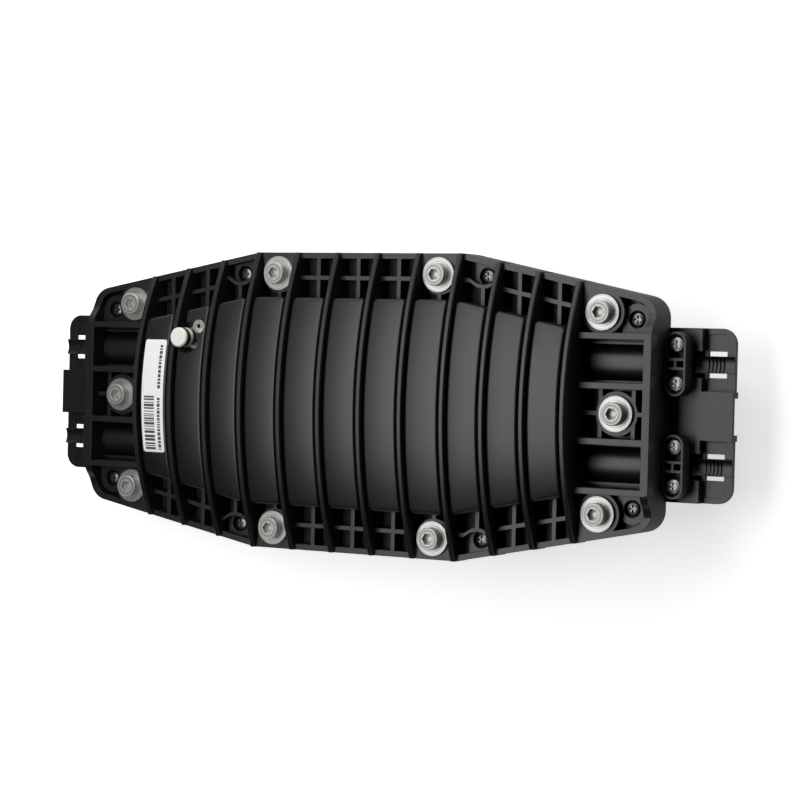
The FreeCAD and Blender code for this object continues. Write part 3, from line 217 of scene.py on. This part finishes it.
def blank(name):
    """New material with an empty tree, returned with its tree and output node."""
    made = bpy.data.materials.new(name)
    made.use_nodes = True
    made.node_tree.nodes.clear()
    output = add(made.node_tree, "ShaderNodeOutputMaterial")
    return made, made.node_tree, output


def dress(material, *names):
    """Gives these CAD nodes one finish."""
    for name in names:
        mesh = nodes[name].data
        mesh.materials.clear()
        mesh.materials.append(material)


# Finishes

def moulded_plastic(name, colour, ior, roughness, grain_mm, edge_mm):
    """Moulded plastic: spark-eroded grain, sides dulled as they are drawn from the tool, softened edges.

    The grain is drawn coarser than a real one, which is too fine to show.
    """
    made, tree, output = blank(name)
    place = add(tree, "ShaderNodeTexCoord").outputs["Object"]
    normal = add(tree, "ShaderNodeNewGeometry").outputs["Normal"]
    facing = add(tree, "ShaderNodeSeparateXYZ", {"Vector": normal})
    level = add(tree, "ShaderNodeMath", {0: facing.outputs["Z"]}, operation="ABSOLUTE")
    tilt = {"Value": level.outputs["Value"], "From Min": UPRIGHT, "From Max": LEVEL}
    gloss = add(tree, "ShaderNodeMapRange",
                {**tilt, "To Min": roughness + DRAWN_SIDES, "To Max": roughness})
    shine = add(tree, "ShaderNodeMapRange", {**tilt, "To Min": SIDE_SHINE, "To Max": FACE_SHINE})
    grain = add(tree, "ShaderNodeTexNoise",
                {"Vector": place, "Scale": per_metre(grain_mm), "Detail": 2.0})
    edge = add(tree, "ShaderNodeBevel", {"Radius": edge_mm * MM}, samples=EDGE_SAMPLES)
    relief = add(tree, "ShaderNodeBump",
                 {"Height": grain.outputs["Fac"], "Strength": 0.12, "Distance": GRAIN_DEEP_MM * MM,
                  "Normal": edge.outputs["Normal"]})
    shader = add(tree, "ShaderNodeBsdfPrincipled",
                 {"Base Color": linear(colour), "IOR": ior, "Roughness": gloss.outputs["Result"],
                  "Specular IOR Level": shine.outputs["Result"], "Normal": relief.outputs["Normal"]})
    tree.links.new(shader.outputs["BSDF"], output.inputs["Surface"])
    return made


def ringed_metal(name, colour, trough, roughness, ring_mm, axes_mm):
    """Metal made round an axis: rings of tool marks, bright on their crests and dull in their troughs.

    The rings are drawn coarser than real marks, which are too fine to show. The axes lie in one quarter of
    the closure, and the other quarters mirror it.
    """
    made, tree, output = blank(name)
    place = add(tree, "ShaderNodeTexCoord").outputs["Object"]
    quarter = add(tree, "ShaderNodeVectorMath", {0: place}, operation="ABSOLUTE").outputs["Vector"]
    flat = add(tree, "ShaderNodeVectorMath", {0: quarter, 1: (1.0, 1.0, 0.0)}, operation="MULTIPLY")
    nearest = None
    for x, y in axes_mm:
        reach = add(tree, "ShaderNodeVectorMath", {0: flat.outputs["Vector"], 1: (x * MM, y * MM, 0.0)},
                    operation="DISTANCE").outputs["Value"]
        if nearest is None:
            nearest = reach
        else:
            nearest = add(tree, "ShaderNodeMath", {0: nearest, 1: reach},
                          operation="MINIMUM").outputs["Value"]
    turns = add(tree, "ShaderNodeMath", {0: nearest, 1: 2 * math.pi * per_metre(ring_mm)},
                operation="MULTIPLY")
    rings = add(tree, "ShaderNodeMath", {0: turns.outputs["Value"]}, operation="SINE")
    crest = add(tree, "ShaderNodeMapRange",
                {"Value": rings.outputs["Value"], "From Min": -1.0, "From Max": 1.0})
    tone = add(tree, "ShaderNodeMix",
               {"Factor": crest.outputs["Result"], MIX_FROM: linear(trough), MIX_TO: linear(colour)},
               data_type="RGBA")
    edge = add(tree, "ShaderNodeBevel", {"Radius": METAL_EDGE_MM * MM}, samples=EDGE_SAMPLES)
    relief = add(tree, "ShaderNodeBump",
                 {"Height": rings.outputs["Value"], "Strength": 0.10, "Distance": RING_DEEP_MM * MM,
                  "Normal": edge.outputs["Normal"]})
    shader = add(tree, "ShaderNodeBsdfPrincipled",
                 {"Base Color": tone.outputs[MIX_RESULT], "Metallic": 1.0, "Roughness": roughness,
                  "Normal": relief.outputs["Normal"]})
    tree.links.new(shader.outputs["BSDF"], output.inputs["Surface"])
    return made


def dust_cap():
    """Blasted nickel plate scatters light until it looks almost white; a black ring runs round its skirt.

    The blasting is drawn coarser than real, so that it shows.
    """
    made, tree, output = blank("blasted_nickel_plate")
    low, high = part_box("valve_cap")
    ring_low, ring_high = [low.z + share * (high.z - low.z) for share in GRIP_RING]
    place = add(tree, "ShaderNodeTexCoord").outputs["Object"]
    height = add(tree, "ShaderNodeSeparateXYZ", {"Vector": place}).outputs["Z"]
    above = add(tree, "ShaderNodeMath", {0: height, 1: ring_low}, operation="GREATER_THAN")
    below = add(tree, "ShaderNodeMath", {0: height, 1: ring_high}, operation="LESS_THAN")
    ring = add(tree, "ShaderNodeMath", {0: above.outputs["Value"], 1: below.outputs["Value"]},
               operation="MULTIPLY")
    blast = add(tree, "ShaderNodeTexNoise", {"Vector": place, "Scale": per_metre(BLAST_MM), "Detail": 2.0})
    relief = add(tree, "ShaderNodeBump",
                 {"Height": blast.outputs["Fac"], "Strength": 0.15, "Distance": GRAIN_DEEP_MM * MM})
    plate = add(tree, "ShaderNodeBsdfPrincipled",
                {"Base Color": linear("#f6f4ef"), "Metallic": 1.0, "Roughness": 0.7,
                 "Normal": relief.outputs["Normal"]})
    grip = add(tree, "ShaderNodeBsdfPrincipled",
               {"Base Color": linear("#0c0c0c"), "Roughness": 0.6, "IOR": 1.52,
                "Normal": relief.outputs["Normal"]})
    both = add(tree, "ShaderNodeMixShader",
               {0: ring.outputs["Value"], 1: plate.outputs["BSDF"], 2: grip.outputs["BSDF"]})
    tree.links.new(both.outputs["Shader"], output.inputs["Surface"])
    return made


def moulded_rubber():
    """EPDM rubber: black and matt, with a fine bloom that greys it unevenly."""
    made, tree, output = blank("epdm_rubber")
    place = add(tree, "ShaderNodeTexCoord").outputs["Object"]
    bloom = add(tree, "ShaderNodeTexNoise", {"Vector": place, "Scale": per_metre(BLOOM_MM), "Detail": 5.0})
    tone = add(tree, "ShaderNodeMix",
               {"Factor": bloom.outputs["Fac"], MIX_FROM: linear("#161616"), MIX_TO: linear("#242423")},
               data_type="RGBA")
    relief = add(tree, "ShaderNodeBump",
                 {"Height": bloom.outputs["Fac"], "Strength": 0.15, "Distance": GRAIN_DEEP_MM * MM})
    shader = add(tree, "ShaderNodeBsdfPrincipled",
                 {"Base Color": tone.outputs[MIX_RESULT], "Roughness": 0.72, "IOR": 1.52,
                  "Normal": relief.outputs["Normal"]})
    tree.links.new(shader.outputs["BSDF"], output.inputs["Surface"])
    return made


def label_film():
    """White polyester film: satin, with a faint mottle in its coating."""
    made, tree, output = blank("polyester_label_film")
    place = add(tree, "ShaderNodeTexCoord").outputs["Object"]
    mottle = add(tree, "ShaderNodeTexNoise", {"Vector": place, "Scale": per_metre(MOTTLE_MM), "Detail": 3.0})
    tone = add(tree, "ShaderNodeMix",
               {"Factor": mottle.outputs["Fac"], MIX_FROM: linear("#f2f2f1"), MIX_TO: linear("#fafaf9")},
               data_type="RGBA")
    shader = add(tree, "ShaderNodeBsdfPrincipled",
                 {"Base Color": tone.outputs[MIX_RESULT], "Roughness": 0.45, "IOR": 1.57})
    tree.links.new(shader.outputs["BSDF"], output.inputs["Surface"])
    return made


def printed_ink():
    """Thermal transfer ink: dark grey, a little worn through to the film."""
    made, tree, output = blank("transfer_ink")
    place = add(tree, "ShaderNodeTexCoord").outputs["Object"]
    wear = add(tree, "ShaderNodeTexNoise", {"Vector": place, "Scale": per_metre(WEAR_MM), "Detail": 2.0})
    tone = add(tree, "ShaderNodeMix",
               {"Factor": wear.outputs["Fac"], MIX_FROM: linear("#2c2a29"), MIX_TO: linear("#5a5654")},
               data_type="RGBA")
    shader = add(tree, "ShaderNodeBsdfPrincipled",
                 {"Base Color": tone.outputs[MIX_RESULT], "Roughness": 0.55})
    tree.links.new(shader.outputs["BSDF"], output.inputs["Surface"])
    return made


def clear_sheet():
    """Clear polycarbonate: sees through, with a hard gloss and faint handling haze."""
    made, tree, output = blank("clear_polycarbonate")
    place = add(tree, "ShaderNodeTexCoord").outputs["Object"]
    haze = add(tree, "ShaderNodeTexNoise", {"Vector": place, "Scale": per_metre(HAZE_MM), "Detail": 4.0})
    gloss = add(tree, "ShaderNodeMapRange",
                {"Value": haze.outputs["Fac"], "To Min": HAZE_ROUGHNESS[0], "To Max": HAZE_ROUGHNESS[1]})
    shader = add(tree, "ShaderNodeBsdfPrincipled",
                 {"Base Color": linear("#eef3f5"), "IOR": 1.58, "Transmission Weight": 0.9,
                  "Roughness": gloss.outputs["Result"]})
    tree.links.new(shader.outputs["BSDF"], output.inputs["Surface"])
    return made


def dress_closure():
    """Every CAD node gets its finish."""
    places = [end + "_" + side for end in ("left", "right") for side in ("front", "rear")]
    # Glass-filled polypropylene comes out of its tool a deep satin black that greys where light skims it
    black = moulded_plastic("glass_filled_polypropylene", "#040405", ior=1.62, roughness=0.39,
                            grain_mm=0.5, edge_mm=0.25)
    dress(black, "base_shell", "top_cover", "end_bracket_left", "end_bracket_right")
    dress(black, *["cable_clamp_" + place for place in places])
    # Cold-headed bolts are blasted clean, so they are an even soft grey from every side
    dress(ringed_metal("blasted_stainless_bolts", "#c8c7c4", "#8f8e8b", roughness=0.52, ring_mm=2.2,
                       axes_mm=BOLT_AXES), "cover_bolts", "base_nuts")
    # Tumbled washers are smoother, so they mirror the softbox at one end and go dark at the other
    dress(ringed_metal("tumbled_stainless_washers", "#c6c5c2", "#aaa9a6", roughness=0.42, ring_mm=1.3,
                       axes_mm=BOLT_AXES), "bolt_washers")
    # Turned screws are a paler steel than the bolts, with faint rings round their axes; on the clamp screws
    # the paler colour is painted light, which keeps them bright though the cover's end wall shades them
    dress(ringed_metal("clamp_screws_painted_bright", "#dddcd9", "#bfbebb", roughness=0.40, ring_mm=0.9,
                       axes_mm=CLAMP_SCREW_AXES), *["clamp_screws_" + place for place in places])
    dress(ringed_metal("turned_stainless_base_screws", "#dddcd9", "#bfbebb", roughness=0.40, ring_mm=0.9,
                       axes_mm=BASE_SCREW_AXES), "bracket_screws", "anchor_screws", "tray_hinge_pins",
          *["strength_anchor_" + place for place in places])
    # The small cover screws are painted a darker grey than the other steel: painted shade for the wells they
    # sit in
    dress(ringed_metal("cover_screws_painted_shade", "#8a8986", "#5f5e5c", roughness=0.30, ring_mm=0.7,
                       axes_mm=COVER_SCREW_AXES), "cover_screws")
    # Nickel plate on the turned brass valve is smoother and whiter than the blasted bolts
    dress(ringed_metal("nickel_plated_brass", "#f0eee9", "#c4c2bd", roughness=0.32, ring_mm=1.0,
                       axes_mm=VALVE_AXES), "valve_body", "valve_nut", "valve_pin", "valve_tag")
    dress(dust_cap(), "valve_cap")
    dress(moulded_rubber(), "side_gasket_front", "side_gasket_rear", "end_gasket_left", "end_gasket_right",
          "valve_neck_ring", "valve_seal", *["port_seal_" + place for place in places])
    film = label_film()
    dress(film, "label")
    # ABS trays are pale so that coloured fibres show, with a finer grain than the shells
    dress(moulded_plastic("light_grey_abs", "#b4b6b7", ior=1.54, roughness=0.42, grain_mm=0.4, edge_mm=0.2),
          "fibre_basket", "lower_splice_tray", "upper_splice_tray")
    # White ABS holders have the trays' grain, and stand out from them
    dress(moulded_plastic("white_abs", "#e4e4e0", ior=1.54, roughness=0.4, grain_mm=0.4, edge_mm=0.15),
          "lower_splice_holder", "upper_splice_holder")
    dress(clear_sheet(), "tray_lid")
    return black, film


# Pads of the cover

def half_width(x):
    """Half the closure's width at station x, in millimetres."""
    return HALF_WIDTH_MM - EDGE_SLOPE * max(0.0, abs(x) - WAIST_X_MM)


def arch_height(x, y):
    """Height of the ribs' arched tops at x, y, in millimetres."""
    rise = RIB_APEX_MM - RIB_EDGE_MM
    radius = (half_width(x) ** 2 + rise ** 2) / (2 * rise)
    return RIB_APEX_MM - radius + math.sqrt(radius ** 2 - y ** 2)


def piece_from(bm, name):
    """Scene object from a bmesh, with outward normals."""
    bmesh.ops.recalc_face_normals(bm, faces=bm.faces)
    mesh = bpy.data.meshes.new(name)
    bm.to_mesh(mesh)
    bm.free()
    piece = bpy.data.objects.new(name, mesh)
    bpy.context.scene.collection.objects.link(piece)
    return piece


def patch_sides(span, front, rear, corner, inset):
    """Left and right outlines of a rounded patch, from its front to its rear, moved in by inset."""
    bend = max(corner - inset, LEAST_BEND_MM)
    sides = []
    for end, inward in ((span[0] + inset, 1), (span[1] - inset, -1)):
        arc = [(end + inward * bend * (1 - math.sin(a)), bend * (1 - math.cos(a))) for a in QUARTER_TURN]
        side = [(x, front(x) + inset + off) for x, off in arc]
        low, high = front(end) + inset + bend, rear(end) - inset - bend
        side += [(end, low + (high - low) * k / SIDE_STEPS) for k in range(1, SIDE_STEPS)]
        side += [(x, rear(x) - inset - off) for x, off in reversed(arc)]
        sides.append(side)
    return sides


def arched_patch(name, span, front, rear, corner, top, foot, rounding):
    """Closed solid that follows the ribs' arch, between two depths below it, with its top edge rounded."""
    levels = [(0.0, foot)]
    levels += [(rounding * (1 - math.cos(a)), top + rounding * (1 - math.sin(a))) for a in QUARTER_TURN]
    bm = bmesh.new()
    rings = []
    for inset, deep in levels:
        sides = patch_sides(span, front, rear, corner, inset)
        rings.append([[bm.verts.new((x * MM, y * MM, (arch_height(x, y) - deep) * MM)) for x, y in side]
                      for side in sides])
    for lower, upper in zip(rings, rings[1:]):
        under = lower[0] + lower[1][::-1]
        over = upper[0] + upper[1][::-1]
        for k in range(len(under)):
            n = (k + 1) % len(under)
            bm.faces.new((under[k], under[n], over[n], over[k]))
    for left, right in (rings[0], rings[-1]):
        for k in range(len(left) - 1):
            bm.faces.new((left[k], left[k + 1], right[k + 1], right[k]))
    return piece_from(bm, name)


def rod_cutter(radius, x, y):
    """Upright round cutter at x, y."""
    bm = bmesh.new()
    middle = Matrix.Translation(Vector((x, y, (CUT_LOW_MM + CUT_HIGH_MM) / 2)) * MM)
    bmesh.ops.create_cone(bm, cap_ends=True, segments=CUT_SIDES, radius1=radius * MM, radius2=radius * MM,
                          depth=(CUT_HIGH_MM - CUT_LOW_MM) * MM, matrix=middle)
    return piece_from(bm, "cutter")


def block_cutter(x, y):
    """Upright square cutter over the ranges x and y."""
    bm = bmesh.new()
    middle = Vector((sum(x), sum(y), CUT_LOW_MM + CUT_HIGH_MM)) / 2 * MM
    size = Vector((x[1] - x[0], y[1] - y[0], CUT_HIGH_MM - CUT_LOW_MM)) * MM
    bmesh.ops.create_cube(bm, size=1.0, matrix=Matrix.LocRotScale(middle, None, size))
    return piece_from(bm, "cutter")


def carve(piece, cutter):
    """Cuts one scene piece with another, which is used up."""
    cut = piece.modifiers.new("cut", "BOOLEAN")
    cut.operation = "DIFFERENCE"
    cut.solver = "EXACT"
    cut.object = cutter
    bpy.context.view_layer.update()
    carved = bpy.data.meshes.new_from_object(piece.evaluated_get(bpy.context.evaluated_depsgraph_get()))
    piece.modifiers.clear()
    piece.data = carved
    bpy.data.objects.remove(cutter)


def finish_piece(piece, material):
    """Finish, smooth shading with crisp edges, and the cover to ride on."""
    piece.data.materials.clear()
    piece.data.materials.append(material)
    piece.data.shade_smooth()
    piece.data.set_sharp_from_angle(angle=math.radians(SHARP_DEG))
    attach(piece, "cover")


def label_place():
    """Cutter for the shallow line round the place for a second label."""
    deep = PAD_DEEP_MM + PLACE_DEEP_MM
    frames = []
    for inset in (0.0, PLACE_LINE_MM):
        span = (PLACE_X_MM[0] + inset, PLACE_X_MM[1] - inset)
        front, rear = PLACE_Y_MM[0] + inset, PLACE_Y_MM[1] - inset
        frames.append(arched_patch("cutter", span, lambda x: front, lambda x: rear, LABEL_CORNER_MM,
                                   top=0.0, foot=deep + inset, rounding=0.0))
    carve(*frames)
    return frames[0]


def cover_pads(plastic):
    """Rounded pads that fill the bays between the ribs, almost level with them, with a sunk line between."""
    ribs = sorted([-x for x in RIBS_AT_MM] + list(RIBS_AT_MM))
    margin = RIB_THICK_MM / 2 + PAD_GAP_MM
    for number, (left, right) in enumerate(zip(ribs, ribs[1:]), 1):
        pad = arched_patch("cover_pad_%d" % number, (left + margin, right - margin),
                           lambda x: PAD_INSET_MM - half_width(x), lambda x: half_width(x) - PAD_INSET_MM,
                           PAD_CORNER_MM, PAD_DEEP_MM, PAD_FOOT_MM, PAD_ROUND_MM)
        if left < VALVE_MM[0] < right:
            carve(pad, rod_cutter(WELL_R_MM, *VALVE_MM))
            carve(pad, block_cutter(GUTTER_X_MM, (VALVE_MM[1], HALF_WIDTH_MM)))
            carve(pad, rod_cutter(TAG_R_MM, *TAG_MM))
        if left < PLACE_X_MM[0] < right:
            carve(pad, label_place())
        finish_piece(pad, plastic)


# Label and its print

def cover_label(film):
    """Label sheet lying on the first pad."""
    sheet = arched_patch("label_sheet", LABEL_X_MM, lambda x: LABEL_Y_MM[0], lambda x: LABEL_Y_MM[1],
                         LABEL_CORNER_MM, PAD_DEEP_MM - LABEL_THICK_MM, PAD_DEEP_MM, LABEL_ROUND_MM)
    finish_piece(sheet, film)
    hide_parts("label")
    return sheet


def spans(start, end, lengths, gaps, dice):
    """Runs of the given lengths, picked in turn by the dice, with gaps between them."""
    at = start
    while at < end:
        stop = min(at + dice.choice(lengths), end)
        yield at, stop
        at = stop + dice.choice(gaps)


def print_patches():
    """Plan rectangles of the print, in millimetres across and along the label."""
    dice = random.Random(PRINT_SEED)
    bars = spans(*BARS_ALONG_MM, BAR_WIDTHS_MM, GAP_WIDTHS_MM, dice)
    patches = [(BARS_ACROSS_MM, bar) for bar in bars]
    for row in ROWS_ALONG_MM:
        patches += [(ROW_ACROSS_MM, dash) for dash in spans(*row, DASH_LENGTHS_MM, (DASH_GAP_MM,), dice)]
    return patches


def label_print(sheet):
    """Thin ink patches that follow the label's curve: a block of bars and two rows of dashes."""
    bm = bmesh.new()
    for across, along in print_patches():
        corners = [(across[0], along[0]), (across[1], along[0]),
                   (across[1], along[1]), (across[0], along[1])]
        rings = []
        for lift in (PRINT_LIFT_MM - PRINT_DEEP_MM, PRINT_LIFT_MM):
            ring = []
            for a, b in corners:
                above = Vector((LABEL_X_MM[0] + a, LABEL_Y_MM[1] - b, CUT_HIGH_MM)) * MM
                hit, point, _, _ = sheet.ray_cast(above, Vector((0, 0, -1)))
                assert hit, "the print runs off the label"
                ring.append(bm.verts.new(point + Vector((0, 0, lift * MM))))
            rings.append(ring)
        bm.faces.new(rings[1])
        bm.faces.new(reversed(rings[0]))
        for k in range(len(corners)):
            n = (k + 1) % len(corners)
            bm.faces.new((rings[0][k], rings[0][n], rings[1][n], rings[1][k]))
    piece = piece_from(bm, "label_print")
    piece.data.materials.append(printed_ink())
    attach(piece, "cover")


# Studio

def studio_floor():
    """Pale floor that keeps the shadow and shows white to the camera, in metal and through the lid."""
    mesh = bpy.data.meshes.new("floor")
    corners = [(-FLOOR_HALF, -FLOOR_HALF, 0), (FLOOR_HALF, -FLOOR_HALF, 0),
               (FLOOR_HALF, FLOOR_HALF, 0), (-FLOOR_HALF, FLOOR_HALF, 0)]
    mesh.from_pydata(corners, [], [(0, 1, 2, 3)])
    made, tree, output = blank("matt_white_floor")
    rays = add(tree, "ShaderNodeLightPath").outputs
    seen = add(tree, "ShaderNodeMath", {0: rays["Is Camera Ray"], 1: rays["Is Glossy Ray"]},
               operation="MAXIMUM")
    seen = add(tree, "ShaderNodeMath", {0: seen.outputs["Value"], 1: rays["Is Transmission Ray"]},
               operation="MAXIMUM")
    lift = add(tree, "ShaderNodeMath", {0: seen.outputs["Value"], 1: FLOOR_LIFT}, operation="MULTIPLY")
    matt = add(tree, "ShaderNodeBsdfDiffuse", {"Color": linear(FLOOR_COLOUR)})
    glow = add(tree, "ShaderNodeEmission", {"Strength": lift.outputs["Value"]})
    both = add(tree, "ShaderNodeAddShader", {0: matt.outputs["BSDF"], 1: glow.outputs["Emission"]})
    tree.links.new(both.outputs["Shader"], output.inputs["Surface"])
    mesh.materials.append(made)
    floor = bpy.data.objects.new("floor", mesh)
    bpy.context.scene.collection.objects.link(floor)
    floor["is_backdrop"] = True


def studio_light():
    """A softbox close overhead, one behind, a weak left strip, and white walls under a dark ceiling."""
    for name, at, aim, size, power in LIGHTS:
        lamp = bpy.data.lights.new(name, "AREA")
        lamp.shape = "RECTANGLE"
        lamp.size, lamp.size_y = size
        lamp.energy = power
        holder = bpy.data.objects.new(name, lamp)
        holder.location = at
        holder.visible_camera = False
        holder.rotation_euler = (Vector(aim) - Vector(at)).to_track_quat("-Z", "Y").to_euler()
        bpy.context.scene.collection.objects.link(holder)
    world = bpy.data.worlds.new("studio")
    world.use_nodes = True
    tree = world.node_tree
    tree.nodes.clear()
    output = add(tree, "ShaderNodeOutputWorld")
    direction = add(tree, "ShaderNodeTexCoord").outputs["Generated"]
    towards = add(tree, "ShaderNodeSeparateXYZ", {"Vector": direction})
    wall_top, ceiling_from = [math.sin(math.radians(angle)) for angle in WALL_FADES_DEG]
    strength = add(tree, "ShaderNodeMapRange",
                   {"Value": towards.outputs["Z"], "From Min": wall_top, "From Max": ceiling_from,
                    "To Min": WALL_STRENGTH, "To Max": CEILING_STRENGTH}, interpolation_type="SMOOTHSTEP")
    side = add(tree, "ShaderNodeVectorMath", {0: direction, 1: WALLS_FACE}, operation="DOT_PRODUCT")
    share = add(tree, "ShaderNodeMapRange",
                {"Value": side.outputs["Value"], "From Min": WALL_TURNS[0], "From Max": WALL_TURNS[1],
                 "To Min": FAR_WALL_SHARE, "To Max": 1.0}, interpolation_type="SMOOTHSTEP")
    level = add(tree, "ShaderNodeMath", {0: strength.outputs["Result"], 1: share.outputs["Result"]},
                operation="MULTIPLY")
    white = add(tree, "ShaderNodeBackground",
                {"Color": linear("#ffffff"), "Strength": level.outputs["Value"]})
    tree.links.new(white.outputs["Background"], output.inputs["Surface"])
    bpy.context.scene.world = world


def photo_camera():
    """Camera where the photograph was taken from."""
    lens = bpy.data.cameras.new("photo_camera")
    lens.lens = CAMERA_LENS_MM
    lens.sensor_width = CAMERA_SENSOR_MM
    holder = bpy.data.objects.new("photo_camera", lens)
    back = (CAMERA_AT - CAMERA_AIM).normalized()
    right = CAMERA_UP.cross(back).normalized()
    turn = Matrix((right, back.cross(right), back)).transposed()
    holder.matrix_world = Matrix.Translation(CAMERA_AT) @ turn.to_4x4()
    bpy.context.scene.collection.objects.link(holder)
    bpy.context.scene.camera = holder


plastic, film = dress_closure()
cover_pads(plastic)
label_print(cover_label(film))
studio_floor()
studio_light()
photo_camera()
bpy.context.scene.view_settings.view_transform = "Standard"
boxes = {"cad": cad_box, "visual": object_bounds()}
{name: [list(corner) for corner in box] for name, box in boxes.items()}
